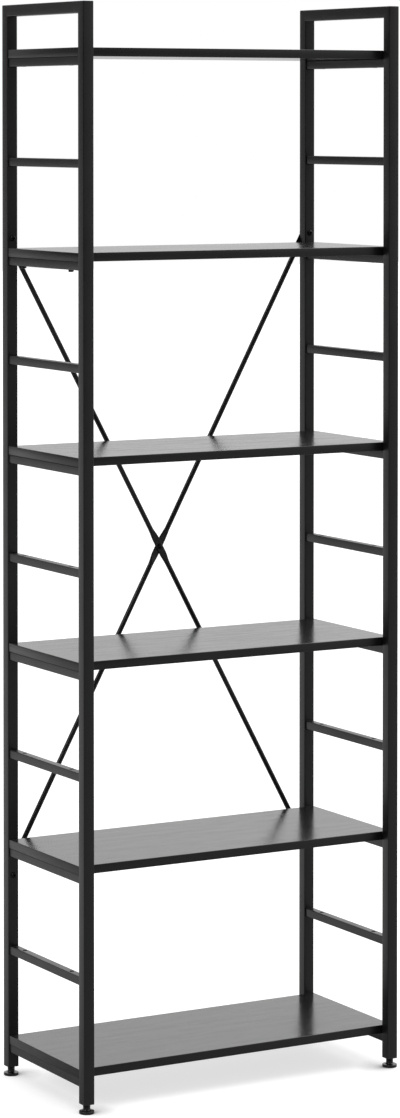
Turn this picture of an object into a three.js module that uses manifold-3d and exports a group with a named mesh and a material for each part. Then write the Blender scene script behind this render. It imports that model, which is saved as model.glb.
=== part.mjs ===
// Industrial bookcase. Two ladder-shaped side frames of square steel tube carry six boards on their
// cross rails, two tubes pressed flat at the ends and the middle make an X across the back, and a
// screw foot stands under each post.
// Millimetres: +X is the right side, +Y the back and +Z up. The origin is on the floor, under the
// middle of the whole outline.
import * as THREE from "three";
import { mergeVertices } from "three/addons/utils/BufferGeometryUtils.js";
import Module from "manifold-3d";

const wasm = await Module();
wasm.setup();

// Overall sizes, over the outer faces of the posts
const caseWidth = 630;
const caseDepth = 305;
const shelfCount = 6;
const lowestShelfHeight = 73; // from the floor to the top of the lowest board
const shelfPitch = 347; // from the top of one board to the top of the next
const frameRise = 78; // from the top of the highest board to the top of the side frames

// Square tubes of the side frames
const postSize = 20;
const postWall = 1.2;
const postCornerRadius = 1.5;
const railSize = 15;
const railWall = 1.2;
const railCornerRadius = 1.5;
const mitreSeam = 0.3; // between a post and the top rail, along the depth

// Screw holes of the cross rails, each through the top and the bottom wall
const screwHoleRadius = 3.2;
const screwHoleInset = 44; // from a post's inner face to the middle of the hole

// Boards
const boardThickness = 15;
const boardEndInset = 1; // from a post's outer face to the board's end
const boardEdgeGap = 1; // from a post to the board's long edge
const pilotRadius = 1.7;
const pilotDepth = 11;

// Brace tubes across the back
const braceRadius = 4.5;
const braceFlatWidth = 13.6;
const braceFlatThickness = 2.4;
const braceEndReach = 8; // from the bolt to the tube's end
const braceEndFlat = 34; // from the bolt to where the tube starts to swell
const braceCrossFlat = 28; // flat stretch where the tubes cross
const braceEndPress = 10; // from flat to round, near the bolts
const braceCrossPress = 24; // from flat to round, near the crossing
const braceRiseOverShelf = 17; // upper bolt, over the top of the second board
const braceDropUnderRail = 34; // lower bolt, under the rail of the last board but one

// Bolts and nuts that hold the brace, and the rivet at its crossing
const boltRadius = 3;
const boltHeadRadius = 5.2;
const boltHeadHeight = 3.8;
const boltHeadEdge = 2.2; // height of the head's straight side
const boltTip = 1.5; // how far the bolt stands out of its nut
const hexKeyWidth = 4; // across the flats of the socket in the head
const hexKeyDepth = 2.4;
const boltHoleClearance = 0.3;
const nutWidth = 10; // across the flats
const nutHeight = 5;
const nutFlangeRadius = 6.4;
const nutFlangeHeight = 1.2;
const rivetRadius = 2.6;
const rivetHeadRadius = 5;
const rivetHeadHeight = 2.2;

// Plugs in the posts' lower ends
const plugFlangeHeight = 1.5;
const plugDepth = 26;
const plugClearance = 0.1;

// Screw feet
const footHeight = 16;
const footRadius = 13;
const footRimHeight = 2.6; // height of the disc's upright rim
const footRimRound = 0.8;
const footNeckRadius = 5.4;
const footNeckHeight = 7.5; // straight neck over the flare
const studRadius = 3;
const studLength = 34;
const studSocketDepth = 11;
const studClearance = 0.3;

// One overrun for every cut
const overrun = 2;

// Numbers of facets
const cornerSteps = 2;
const holeSides = 10;
const boltSides = 18;
const footSides = 24;
const braceSides = 16;
const roundSteps = 3;

// Places that follow from the sizes
const halfWidth = caseWidth / 2;
const halfDepth = caseDepth / 2;
const postX = halfWidth - postSize / 2;
const postY = halfDepth - postSize / 2;
const postBottom = footHeight + plugFlangeHeight;
const topShelfHeight = lowestShelfHeight + (shelfCount - 1) * shelfPitch;
const frameTop = topShelfHeight + frameRise;
const railSpan = caseDepth - 2 * postSize;
const railPitch = shelfPitch / 2; // a cross rail under each board and one halfway to the next
const lowestRailTop = lowestShelfHeight - boardThickness;
const screwY = railSpan / 2 - screwHoleInset;
const upperBoltHeight = topShelfHeight - shelfPitch + braceRiseOverShelf;
const lowerBoltHeight =
  lowestRailTop + shelfPitch - railSize - braceDropUnderRail;
const bracePlane = halfDepth + braceFlatThickness / 2;
const boltHoleRadius = boltRadius + boltHoleClearance;
const nutSeat = halfDepth + braceFlatThickness;

const powderCoat = new THREE.MeshStandardMaterial({
  color: 0x2b2b2b,
  roughness: 0.42,
  metalness: 0.5,
});
const laminate = new THREE.MeshStandardMaterial({
  color: 0x2d2b2a,
  roughness: 0.5,
  metalness: 0,
});
const blackZinc = new THREE.MeshStandardMaterial({
  color: 0x161616,
  roughness: 0.35,
  metalness: 0.8,
});
const plastic = new THREE.MeshStandardMaterial({
  color: 0x101010,
  roughness: 0.3,
  metalness: 0,
});

// A closed geometry as a solid that can be joined and cut.
function solidFrom(geometry) {
  const bare = geometry.clone();
  bare.deleteAttribute("normal");
  bare.deleteAttribute("uv");
  const merged = mergeVertices(bare);
  return new wasm.Manifold(
    new wasm.Mesh({
      numProp: 3,
      vertProperties: merged.attributes.position.array,
      triVerts: new Uint32Array(merged.index.array),
    }),
  );
}

function geometryFrom(solid) {
  const mesh = solid.getMesh();
  const geometry = new THREE.BufferGeometry();
  geometry.setAttribute(
    "position",
    new THREE.BufferAttribute(new Float32Array(mesh.vertProperties), 3),
  );
  geometry.setIndex(new THREE.BufferAttribute(mesh.triVerts, 1));
  geometry.computeVertexNormals();
  return geometry;
}

function cut(geometry, tools) {
  const left = tools.reduce(
    (solid, tool) => solid.subtract(solidFrom(tool)),
    solidFrom(geometry),
  );
  return geometryFrom(left);
}

function join(geometry, other) {
  return geometryFrom(solidFrom(geometry).add(solidFrom(other)));
}

// A square with rounded corners about the origin, drawn as an outline or as a hole.
function roundedSquare(size, radius, outline) {
  const reach = size / 2 - radius;
  const corners = [
    [reach, -reach],
    [reach, reach],
    [-reach, reach],
    [-reach, -reach],
  ];
  corners.forEach(([x, y], quarter) => {
    const start = (quarter - 1) * (Math.PI / 2);
    for (let step = 0; step <= cornerSteps; step++) {
      const angle = start + (step / cornerSteps) * (Math.PI / 2);
      const px = x + radius * Math.cos(angle);
      const py = y + radius * Math.sin(angle);
      if (quarter === 0 && step === 0) outline.moveTo(px, py);
      else outline.lineTo(px, py);
    }
  });
  outline.closePath();
  return outline;
}

// A square tube, open at both ends, that stands on the origin and rises along Z.
function squareTube(size, wall, radius, length) {
  const section = roundedSquare(size, radius, new THREE.Shape());
  const innerRadius = Math.max(radius - wall, 0);
  section.holes.push(
    roundedSquare(size - 2 * wall, innerRadius, new THREE.Path()),
  );
  return new THREE.ExtrudeGeometry(section, {
    depth: length,
    bevelEnabled: false,
  });
}

// Lays a piece that stands on the origin along Z down along Y, its middle at the origin.
function layAlongDepth(geometry, length) {
  return geometry
    .translate(0, 0, -length / 2)
    .rotateX(Math.PI / 2);
}

// A prism across the width, from its outline in depth and height.
function prismAcross(outline, width) {
  const shape = new THREE.Shape(outline.map(([y, z]) => new THREE.Vector2(y, z)));
  const geometry = new THREE.ExtrudeGeometry(shape, {
    depth: width,
    bevelEnabled: false,
  });
  const turn = new THREE.Matrix4().makeBasis(
    new THREE.Vector3(0, 1, 0),
    new THREE.Vector3(0, 0, 1),
    new THREE.Vector3(1, 0, 0),
  );
  return geometry.applyMatrix4(turn).translate(-width / 2, 0, 0);
}

// A round bar about the origin, along the depth or upright, as a tool that drills a hole.
function drillAlongDepth(radius, length) {
  return new THREE.CylinderGeometry(radius, radius, length, holeSides);
}

function drillUpright(radius, length) {
  return drillAlongDepth(radius, length).rotateX(Math.PI / 2);
}

const bookcase = new THREE.Group();
const sides = [
  ["left", -1],
  ["right", 1],
];
const ends = [
  ["front", -1],
  ["rear", 1],
];

function addPiece(name, geometry, material, x, y, z) {
  const piece = new THREE.Mesh(geometry, material);
  piece.name = name;
  piece.position.set(x, y, z);
  bookcase.add(piece);
  return piece;
}

// A post's tube, its top mitred towards the inside of the side frame. The rear posts are drilled
// for the brace bolts.
function postGeometry(end) {
  const height = frameTop - postBottom;
  const tube = squareTube(postSize, postWall, postCornerRadius, height);
  const outside = postSize / 2 + overrun;
  const mitre = prismAcross(
    [
      [end * outside, height + overrun],
      [-end * outside, height - postSize - overrun],
      [-end * outside, height + overrun],
    ],
    postSize + 2 * overrun,
  );
  const tools = [mitre];
  if (end > 0) {
    for (const boltHeight of [lowerBoltHeight, upperBoltHeight]) {
      const drill = drillAlongDepth(boltHoleRadius, postSize + 2 * overrun);
      tools.push(drill.translate(0, 0, boltHeight - postBottom));
    }
  }
  return cut(tube, tools);
}

// The top rail of a side frame, mitred at both ends.
function topRailGeometry() {
  const tube = squareTube(postSize, postWall, postCornerRadius, caseDepth);
  const tools = [-1, 1].map((end) => {
    const tip = halfDepth - mitreSeam;
    const half = postSize / 2;
    return prismAcross(
      [
        [end * (tip + overrun), half + overrun],
        [end * (tip - postSize - overrun), -half - overrun],
        [end * (halfDepth + overrun), -half - overrun],
      ],
      postSize + 2 * overrun,
    );
  });
  return cut(layAlongDepth(tube, caseDepth), tools);
}

// A cross rail between the posts, with its two screw holes.
function crossRailGeometry() {
  const tube = squareTube(railSize, railWall, railCornerRadius, railSpan);
  const tools = [-1, 1].map((end) =>
    drillUpright(screwHoleRadius, railSize + 2 * overrun).translate(
      0,
      end * screwY,
      0,
    ),
  );
  return cut(layAlongDepth(tube, railSpan), tools);
}

function addSideFrames() {
  const crossRail = crossRailGeometry();
  const topRail = topRailGeometry();
  const railCount = 2 * shelfCount - 1;
  for (const [side, across] of sides) {
    for (const [end, along] of ends) {
      const name = `post_${end}_${side}`;
      const place = [across * postX, along * postY, postBottom];
      addPiece(name, postGeometry(along), powderCoat, ...place);
    }
    const topMiddle = frameTop - postSize / 2;
    addPiece(`top_rail_${side}`, topRail, powderCoat, across * postX, 0, topMiddle);
    for (let i = 0; i < railCount; i++) {
      const number = Math.floor(i / 2) + 1;
      const kind = i % 2 === 0 ? "shelf_rail" : "open_rung";
      const middle = lowestRailTop + i * railPitch - railSize / 2;
      const name = `${kind}_${number}_${side}`;
      addPiece(name, crossRail, powderCoat, across * postX, 0, middle);
    }
  }
}

// A board between the front and the rear posts, with pilot holes in its underside for the screws
// that come up through the rails.
function boardGeometry() {
  const length = caseWidth - 2 * boardEndInset;
  const depth = railSpan - 2 * boardEdgeGap;
  const board = new THREE.BoxGeometry(length, depth, boardThickness);
  const tools = [];
  for (const [, across] of sides) {
    for (const [, along] of ends) {
      const drill = drillUpright(pilotRadius, pilotDepth + overrun);
      const middle = -boardThickness / 2 + (pilotDepth - overrun) / 2;
      tools.push(drill.translate(across * postX, along * screwY, middle));
    }
  }
  return cut(board, tools);
}

function addBoards() {
  const board = boardGeometry();
  for (let i = 0; i < shelfCount; i++) {
    const middle = lowestShelfHeight + i * shelfPitch - boardThickness / 2;
    addPiece(`shelf_board_${i + 1}`, board, laminate, 0, 0, middle);
  }
}

// Eases from nought to one.
function ease(share) {
  return share * share * (3 - 2 * share);
}

// The brace tube's form at a place along it: how far it is pressed, how wide, and whether it leans
// forward or back there so that the two tubes cross face to face.
function braceSection(place, halfLength) {
  const fromBolt = halfLength - Math.abs(place);
  const fromCross = Math.abs(place) - braceCrossFlat / 2;
  const endSwell = THREE.MathUtils.clamp(
    (fromBolt - braceEndFlat) / braceEndPress,
    0,
    1,
  );
  const crossSwell = THREE.MathUtils.clamp(fromCross / braceCrossPress, 0, 1);
  const swell = ease(Math.min(endSwell, crossSwell));
  const flatHalf = braceFlatWidth / 2;
  // The tube's end is rounded about the bolt.
  const noseCentre = braceEndReach - flatHalf;
  const past = Math.max(-fromBolt - noseCentre, 0);
  const nose = Math.sqrt(Math.max(flatHalf * flatHalf - past * past, 0));
  return {
    halfWidth: Math.min(nose, THREE.MathUtils.lerp(flatHalf, braceRadius, swell)),
    halfThickness: THREE.MathUtils.lerp(braceFlatThickness / 2, braceRadius, swell),
    lean: (1 - ease(crossSwell)) * (braceFlatThickness / 2),
  };
}

// The places along the brace tube where its form changes, from end to end.
function braceStations(halfLength) {
  const noseShares = [0.96, 0.8, 0.45, 0];
  const flatHalf = braceFlatWidth / 2;
  const noseCentre = halfLength + braceEndReach - flatHalf;
  const endSwellStart = halfLength - braceEndFlat;
  const crossFlatEnd = braceCrossFlat / 2;
  const half = noseShares.map((share) => noseCentre + share * flatHalf);
  for (let step = 0; step <= roundSteps; step++) {
    half.push(endSwellStart - (step / roundSteps) * braceEndPress);
  }
  for (let step = roundSteps; step >= 0; step--) {
    half.push(crossFlatEnd + (step / roundSteps) * braceCrossPress);
  }
  return [...half, ...half.map((place) => -place).reverse()];
}

// A tube along X that was pressed between two plates at its ends and its middle. Each ring of
// points is the round section, cut off flat and spread sideways where it is pressed.
function braceGeometry(halfLength, leanSide) {
  const stations = braceStations(halfLength);
  const points = [];
  for (const place of stations) {
    const { halfWidth: wide, halfThickness: thick, lean } = braceSection(place, halfLength);
    for (let k = 0; k < braceSides; k++) {
      const angle = ((k + 0.5) / braceSides) * 2 * Math.PI;
      const depth = THREE.MathUtils.clamp(braceRadius * Math.sin(angle), -thick, thick);
      points.push(place, leanSide * lean + depth, wide * Math.cos(angle));
    }
  }
  const faces = [];
  const last = (stations.length - 1) * braceSides;
  for (let k = 0; k < braceSides; k++) {
    const next = (k + 1) % braceSides;
    for (let ring = 0; ring < last; ring += braceSides) {
      const a = ring + k;
      const b = ring + next;
      faces.push(a, b, b + braceSides, a, b + braceSides, a + braceSides);
    }
    if (k > 0 && k < braceSides - 1) {
      faces.push(0, k + 1, k);
      faces.push(last, last + k, last + k + 1);
    }
  }
  const geometry = new THREE.BufferGeometry();
  geometry.setAttribute("position", new THREE.Float32BufferAttribute(points, 3));
  geometry.setIndex(faces);
  const tools = [
    [-halfLength, boltHoleRadius],
    [0, rivetRadius + boltHoleClearance],
    [halfLength, boltHoleRadius],
  ].map(([place, radius]) =>
    drillAlongDepth(radius, 2 * braceFlatThickness + 2 * overrun).translate(place, 0, 0),
  );
  return cut(geometry, tools);
}

// A turned piece about the depth axis, from an outline of radius and place along the depth.
function turned(outline, segments) {
  const points = outline.map(([radius, place]) => new THREE.Vector2(radius, place));
  return new THREE.LatheGeometry(points, segments);
}

// Points of a domed head, from the rim to the axis.
function dome(radius, rimPlace, height) {
  const points = [];
  for (let step = 0; step <= roundSteps; step++) {
    const angle = (step / roundSteps) * (Math.PI / 2);
    const across = step === roundSteps ? 0 : radius * Math.cos(angle);
    points.push([across, rimPlace + height * Math.sin(angle)]);
  }
  return points;
}

function hexagon(acrossFlats) {
  const corner = acrossFlats / 2 / Math.cos(Math.PI / 6);
  const corners = Array.from({ length: 6 }, (_, k) => {
    const angle = ((k + 0.5) * Math.PI) / 3;
    return new THREE.Vector2(corner * Math.cos(angle), corner * Math.sin(angle));
  });
  return new THREE.Shape(corners);
}

// A hexagonal bar along the depth, from the origin backwards.
function hexagonBar(acrossFlats, length) {
  return new THREE.ExtrudeGeometry(hexagon(acrossFlats), {
    depth: length,
    bevelEnabled: false,
  }).rotateX(-Math.PI / 2);
}

// The bolt through a rear post and a brace tube: a domed socket head in front of the post, and the
// shank's tip behind the nut.
function boltGeometry() {
  const shank = nutSeat + nutHeight + boltTip - (halfDepth - postSize);
  const headDome = dome(boltHeadRadius, boltHeadEdge, boltHeadHeight - boltHeadEdge);
  const outline = [
    [0, -shank],
    [boltRadius, -shank],
    [boltRadius, 0],
    [boltHeadRadius, 0],
    ...headDome,
  ];
  const socket = hexagonBar(hexKeyWidth, hexKeyDepth + overrun).translate(
    0,
    boltHeadHeight - hexKeyDepth,
    0,
  );
  const bolt = cut(turned(outline, boltSides), [socket]);
  return bolt.rotateX(Math.PI);
}

// The flanged nut behind a brace tube.
function nutGeometry() {
  const flange = new THREE.CylinderGeometry(
    nutFlangeRadius,
    nutFlangeRadius,
    nutFlangeHeight,
    boltSides,
  ).translate(0, nutFlangeHeight / 2, 0);
  const nut = join(hexagonBar(nutWidth, nutHeight), flange);
  return cut(nut, [drillAlongDepth(boltHoleRadius, 2 * (nutHeight + overrun))]);
}

// The rivet through both brace tubes, its middle where they touch.
function rivetGeometry() {
  const seat = braceFlatThickness;
  const backDome = dome(rivetHeadRadius, seat, rivetHeadHeight);
  const frontDome = dome(rivetHeadRadius, -seat, -rivetHeadHeight).reverse();
  const outline = [
    ...frontDome,
    [rivetRadius, -seat],
    [rivetRadius, seat],
    ...backDome,
  ];
  return turned(outline, boltSides);
}

function addBrace() {
  const spanX = 2 * postX;
  const spanZ = upperBoltHeight - lowerBoltHeight;
  const halfLength = Math.hypot(spanX, spanZ) / 2;
  const slope = Math.atan2(spanZ, spanX);
  const middle = (upperBoltHeight + lowerBoltHeight) / 2;
  for (const [side, across] of sides) {
    const name = `brace_from_upper_${side}`;
    const tube = braceGeometry(halfLength, across);
    const piece = addPiece(name, tube, powderCoat, 0, bracePlane, middle);
    piece.rotation.y = -across * slope;
    for (const [level, height] of [
      ["lower", lowerBoltHeight],
      ["upper", upperBoltHeight],
    ]) {
      const x = across * postX;
      const headSeat = halfDepth - postSize;
      addPiece(`brace_bolt_${level}_${side}`, boltGeometry(), blackZinc, x, headSeat, height);
      addPiece(`brace_nut_${level}_${side}`, nutGeometry(), blackZinc, x, nutSeat, height);
    }
  }
  addPiece("brace_rivet", rivetGeometry(), blackZinc, 0, bracePlane, middle);
}

// The plug in a post's lower end, with a hole for the foot's stud: a flange under the tube and a
// square body inside it.
function plugGeometry() {
  const bodySize = postSize - 2 * postWall - 2 * plugClearance;
  const bodyRadius = Math.max(postCornerRadius - postWall, 0);
  const section = roundedSquare(bodySize, bodyRadius, new THREE.Shape());
  const body = new THREE.ExtrudeGeometry(section, {
    depth: plugFlangeHeight + plugDepth,
    bevelEnabled: false,
  });
  const flangeSection = roundedSquare(postSize, postCornerRadius, new THREE.Shape());
  const flange = new THREE.ExtrudeGeometry(flangeSection, {
    depth: plugFlangeHeight,
    bevelEnabled: false,
  });
  const bore = drillUpright(
    studRadius + studClearance,
    2 * (plugFlangeHeight + plugDepth + overrun),
  );
  return cut(join(body, flange), [bore]);
}

// The foot's plastic pad: a disc with a rounded rim, a hollow flare up to a straight neck, and the
// stud's blind socket in the neck.
function footGeometry() {
  const flareFoot = footRimHeight + footRimRound;
  const flareTop = footHeight - footNeckHeight;
  const flareWidth = footRadius - footRimRound - footNeckRadius;
  const outline = [
    [0, 0],
    [footRadius - footRimRound, 0],
    [footRadius, footRimRound],
    [footRadius, footRimHeight],
  ];
  for (let step = 0; step <= roundSteps; step++) {
    const angle = (step / roundSteps) * (Math.PI / 2);
    const across = footNeckRadius + flareWidth * (1 - Math.sin(angle));
    const height = flareFoot + (flareTop - flareFoot) * (1 - Math.cos(angle));
    outline.push([across, height]);
  }
  const socketRadius = studRadius + studClearance;
  const socketFloor = footHeight - studSocketDepth;
  outline.push([footNeckRadius, footHeight]);
  outline.push([socketRadius, footHeight]);
  outline.push([socketRadius, socketFloor]);
  outline.push([0, socketFloor]);
  return turned(outline, footSides).rotateX(Math.PI / 2);
}

function studGeometry() {
  const stud = new THREE.CylinderGeometry(studRadius, studRadius, studLength, boltSides);
  return stud.rotateX(Math.PI / 2).translate(0, 0, studLength / 2);
}

function addFeet() {
  const socketFloor = footHeight - studSocketDepth;
  for (const [side, across] of sides) {
    for (const [end, along] of ends) {
      const x = across * postX;
      const y = along * postY;
      addPiece(`post_plug_${end}_${side}`, plugGeometry(), plastic, x, y, footHeight);
      addPiece(`foot_pad_${end}_${side}`, footGeometry(), plastic, x, y, 0);
      addPiece(`foot_stud_${end}_${side}`, studGeometry(), blackZinc, x, y, socketFloor);
    }
  }
}

addSideFrames();
addBoards();
addBrace();
addFeet();

// The bolts' tips reach further back than the feet reach forward, and the origin is halfway.
const frontReach = postY + footRadius;
const backReach = Math.max(nutSeat + nutHeight + boltTip, postY + footRadius);
bookcase.position.y = (frontReach - backReach) / 2;

export default bookcase;
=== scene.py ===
"""Industrial bookcase: two ladder frames of black square tube, six black wood-grain boards, an X
brace across the back and four screw feet. Sizes are in millimetres, and a finished piece is put
into metres. +X is the right side, +Y the back, +Z up."""

import math

import bmesh
import bpy
from mathutils import Matrix, Vector


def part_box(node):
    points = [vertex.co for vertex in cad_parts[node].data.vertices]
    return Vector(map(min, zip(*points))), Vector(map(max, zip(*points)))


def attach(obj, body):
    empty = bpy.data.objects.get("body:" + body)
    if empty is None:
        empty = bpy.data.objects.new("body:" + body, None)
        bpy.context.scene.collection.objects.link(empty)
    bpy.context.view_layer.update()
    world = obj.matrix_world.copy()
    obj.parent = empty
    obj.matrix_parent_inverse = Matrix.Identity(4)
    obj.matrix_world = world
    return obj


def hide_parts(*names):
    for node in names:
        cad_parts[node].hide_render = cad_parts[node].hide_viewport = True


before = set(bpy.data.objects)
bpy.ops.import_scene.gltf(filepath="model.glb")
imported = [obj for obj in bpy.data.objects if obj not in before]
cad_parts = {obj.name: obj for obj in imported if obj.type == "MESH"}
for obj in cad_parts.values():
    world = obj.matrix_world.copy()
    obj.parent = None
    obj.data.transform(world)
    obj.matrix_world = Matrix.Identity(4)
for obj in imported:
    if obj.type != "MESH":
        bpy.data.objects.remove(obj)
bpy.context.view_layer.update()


# Camera. It stands in front of the left front corner at eye height and looks almost level, with a
# long lens whose view is shifted down, so that the posts stay upright.
camera = bpy.data.objects.new("camera", bpy.data.cameras.new("camera"))
bpy.context.scene.collection.objects.link(camera)
bpy.context.scene.camera = camera
camera_turn = math.radians(-29.672)
camera_tilt = math.radians(1.687)
camera.data.lens = 115.816
camera.data.shift_y = -0.30
camera.location = (-3.1370, -5.50465, 1.6893)
camera_aim = Vector(
    (
        -math.sin(camera_turn) * math.cos(camera_tilt),
        math.cos(camera_turn) * math.cos(camera_tilt),
        -math.sin(camera_tilt),
    )
)
camera.rotation_euler = camera_aim.to_track_quat("-Z", "Y").to_euler()


# Studio. A white paper sweep: brightest behind the bookcase and to its right, so that board tops
# shine, dimmer at its bend, at the left and in front, and dark around the camera, so that black
# stays black.
def node(tree, kind, inputs=(), **settings):
    """One node with its settings. Its sockets, by name or in their order, take a value, a link, a
    node, whose first output is linked, or a list of these."""
    made = tree.nodes.new(kind)
    for name, value in settings.items():
        setattr(made, name, value)
    by_socket = inputs if isinstance(inputs, dict) else dict(enumerate(inputs))
    for socket, value in by_socket.items():
        for source in value if isinstance(value, list) else [value]:
            if isinstance(source, bpy.types.Node):
                source = source.outputs[0]
            if isinstance(source, bpy.types.NodeSocket):
                tree.links.new(source, made.inputs[socket])
            else:
                made.inputs[socket].default_value = source
    return made


def linear(colour):
    """An sRGB hex colour as a shader's linear red, green, blue and alpha."""
    parts = [int(colour[i : i + 2], 16) / 255 for i in (1, 3, 5)]
    return (
        *(p / 12.92 if p <= 0.04045 else ((p + 0.055) / 1.055) ** 2.4 for p in parts),
        1.0,
    )


paper_white = linear("#ffffff")
brightest_way = (0.87, 0.37, 0.88)
light_all_round = 0.225
least_light = 0.05
bend_height = 0.2
bend_light = 0.66
bpy.context.scene.view_settings.view_transform = "Standard"
room = bpy.data.worlds.new("white_studio")
bpy.context.scene.world = room
room.use_nodes = True
walls = room.node_tree
walls.nodes.clear()
direction = node(walls, "ShaderNodeTexCoord").outputs["Generated"]
brightness = node(
    walls, "ShaderNodeVectorMath", (direction, brightest_way), operation="DOT_PRODUCT"
).outputs["Value"]
brightness = node(walls, "ShaderNodeMath", (brightness, light_all_round), operation="ADD")
brightness = node(walls, "ShaderNodeMath", (brightness, least_light), operation="MAXIMUM")
height = node(walls, "ShaderNodeSeparateXYZ", (direction,)).outputs["Z"]
over_bend = node(walls, "ShaderNodeMapRange", (height, 0.0, bend_height, bend_light, 1.0))
brightness = node(walls, "ShaderNodeMath", (brightness, over_bend), operation="MULTIPLY")
lighting = node(walls, "ShaderNodeBackground", (paper_white, brightness))
backdrop = node(walls, "ShaderNodeBackground", (paper_white,))
seen = node(walls, "ShaderNodeLightPath").outputs["Is Camera Ray"]
sweep = node(walls, "ShaderNodeMixShader", (seen, lighting, backdrop))
node(walls, "ShaderNodeOutputWorld", (sweep,))

lamp_spread = 38
for lamp_name, lamp_turn, lamp_height, lamp_power in (
    ("lamp_left", -80, 48, 1.3),
    ("lamp_right", 75, 48, 1.1),
):
    lamp = bpy.data.objects.new(lamp_name, bpy.data.lights.new(lamp_name, "SUN"))
    bpy.context.scene.collection.objects.link(lamp)
    lamp.data.energy = lamp_power
    lamp.data.angle = math.radians(lamp_spread)
    lamp.rotation_euler = (
        math.radians(90 - lamp_height),
        0,
        math.radians(lamp_turn),
    )

floor_reach = 30
floor_mesh = bpy.data.meshes.new("floor")
floor_mesh.from_pydata(
    [(x * floor_reach, y * floor_reach, 0) for x, y in ((-1, -1), (1, -1), (1, 1), (-1, 1))],
    [],
    [(0, 1, 2, 3)],
)
floor = bpy.data.objects.new("floor", floor_mesh)
bpy.context.scene.collection.objects.link(floor)


def new_material(name):
    """A material with a bare tree, and its Object coordinates."""
    material = bpy.data.materials.new(name)
    material.use_nodes = True
    tree = material.node_tree
    tree.nodes.clear()
    return material, tree, node(tree, "ShaderNodeTexCoord").outputs["Object"]


def end_material(tree, inputs):
    """Ends a material's tree: its shader, with its inputs, and the output."""
    shader = node(tree, "ShaderNodeBsdfPrincipled", inputs)
    node(tree, "ShaderNodeOutputMaterial", (shader,))


# Lit acrylic: it glows to the camera, so that shade under the lowest board stays pale, and less
# into reflections, dim in front and brighter behind. Close beside a foot, on the side away from the
# nearer lamp, ambient occlusion dims its glow to the camera: a painted contact shadow.
glow_to_camera = 0.70
glow_in_front = 0.04
glow_behind = 0.40
glow_from = -0.5  # along Y, in metres
glow_to = 1.0
foot_shade_reach = 0.05
foot_shade_depth = 2.2
lamp_low = (-0.15, 0.6)  # Y and Z of the way to the lamps
lamp_lean = 0.8
case_half = 0.3
grey_in_reflections = (0.25, 0.25, 0.25, 1)
white_to_camera = (0.45, 0.45, 0.45, 1)
lit_acrylic_painted_foot_shadow, tree, place = new_material("lit_white_acrylic")
across, along, _ = node(tree, "ShaderNodeSeparateXYZ", (place,)).outputs
mirrored = node(
    tree, "ShaderNodeMapRange", (along, glow_from, glow_to, glow_in_front, glow_behind)
)
lamp_side = node(
    tree, "ShaderNodeMapRange", (across, -case_half, case_half, -lamp_lean, lamp_lean)
)
to_lamp = node(tree, "ShaderNodeCombineXYZ", (lamp_side, *lamp_low))
to_lamp = node(tree, "ShaderNodeVectorMath", (to_lamp,), operation="NORMALIZE")
# Painted contact shadow: ambient occlusion beside a foot dims the floor's glow to the camera.
open_floor = node(
    tree,
    "ShaderNodeAmbientOcclusion",
    {"Distance": foot_shade_reach, "Normal": to_lamp},
    samples=16,
).outputs["AO"]
open_floor = node(tree, "ShaderNodeMath", (open_floor, foot_shade_depth), operation="POWER")
shown = node(tree, "ShaderNodeMath", (open_floor, glow_to_camera), operation="MULTIPLY")
seen = node(tree, "ShaderNodeLightPath").outputs["Is Camera Ray"]
glow = node(tree, "ShaderNodeMix", {0: seen, 2: mirrored, 3: shown})
white = node(
    tree,
    "ShaderNodeMix",
    {0: seen, 6: grey_in_reflections, 7: white_to_camera},
    data_type="RGBA",
)
end_material(
    tree,
    {
        "Base Color": white.outputs[2],
        "Roughness": 1.0,
        "Specular IOR Level": 0.0,
        "Emission Color": paper_white,
        "Emission Strength": glow,
    },
)
floor_mesh.materials.append(lit_acrylic_painted_foot_shadow)


# Posts and top rails. Each side frame is 20 mm square steel tube with a 1.2 mm wall, mitred and
# welded at its two top corners, the weld ground flush, and the whole frame powder coated black.
post_width = 20.0
post_wall = 1.2
post_corner = 1.5
corner_steps = 5
top_corner_round = 1.2  # left by grinding, along the bend
brace_hole_width = 6.6
overcut = 2.0  # how far a cutting shape goes past a piece
flat_normal = 0.9995  # a face this near to square with an axis is shaded flat
sharp_edge = 32  # degrees
sides = ("left", "right")
ends = ("front", "rear")


def box_of(*nodes):
    """Lowest and highest corner of CAD nodes, in millimetres."""
    corners = [[1000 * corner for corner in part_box(n)] for n in nodes]
    low = Vector([min(c[0][i] for c in corners) for i in range(3)])
    high = Vector([max(c[1][i] for c in corners) for i in range(3)])
    return low, high


def middle_of(*nodes):
    low, high = box_of(*nodes)
    return (low + high) / 2


def rounded_square(width, corner):
    """Points of a square section with round corners, anticlockwise about the origin."""
    points = []
    for quarter in range(4):
        for step in range(corner_steps + 1):
            angle = math.radians(90 * (quarter + step / corner_steps))
            side = math.radians(90 * quarter + 45)
            centre = math.sqrt(2) * (width / 2 - corner)
            points.append(
                (
                    centre * math.cos(side) + corner * math.cos(angle),
                    centre * math.sin(side) + corner * math.sin(angle),
                )
            )
    return points


def skin(shape, loops, closed=False):
    """Joins loops of as many points into a skin. It is closed into a ring, or capped."""
    rings = [[shape.verts.new(p) for p in loop] for loop in loops]
    count = len(rings[0])
    pairs = list(zip(rings, rings[1:] + rings[:1]))
    for here, there in pairs if closed else pairs[:-1]:
        for i in range(count):
            j = (i + 1) % count
            shape.faces.new((here[i], here[j], there[j], there[i]))
    if not closed:
        shape.faces.new(rings[0][::-1])
        shape.faces.new(rings[-1])


def new_piece(name, shape=None):
    """An object with a shape as its mesh, faces outwards, or without one."""
    mesh = bpy.data.meshes.new(name)
    if shape is not None:
        bmesh.ops.recalc_face_normals(shape, faces=shape.faces)
        shape.to_mesh(mesh)
        shape.free()
    made = bpy.data.objects.new(name, mesh)
    bpy.context.scene.collection.objects.link(made)
    return made


def flatten(piece):
    """Puts what a piece's modifiers make into its mesh."""
    bpy.context.view_layer.update()
    evaluated = piece.evaluated_get(bpy.context.evaluated_depsgraph_get())
    made = bpy.data.meshes.new_from_object(evaluated)
    piece.modifiers.clear()
    piece.data = made


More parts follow.
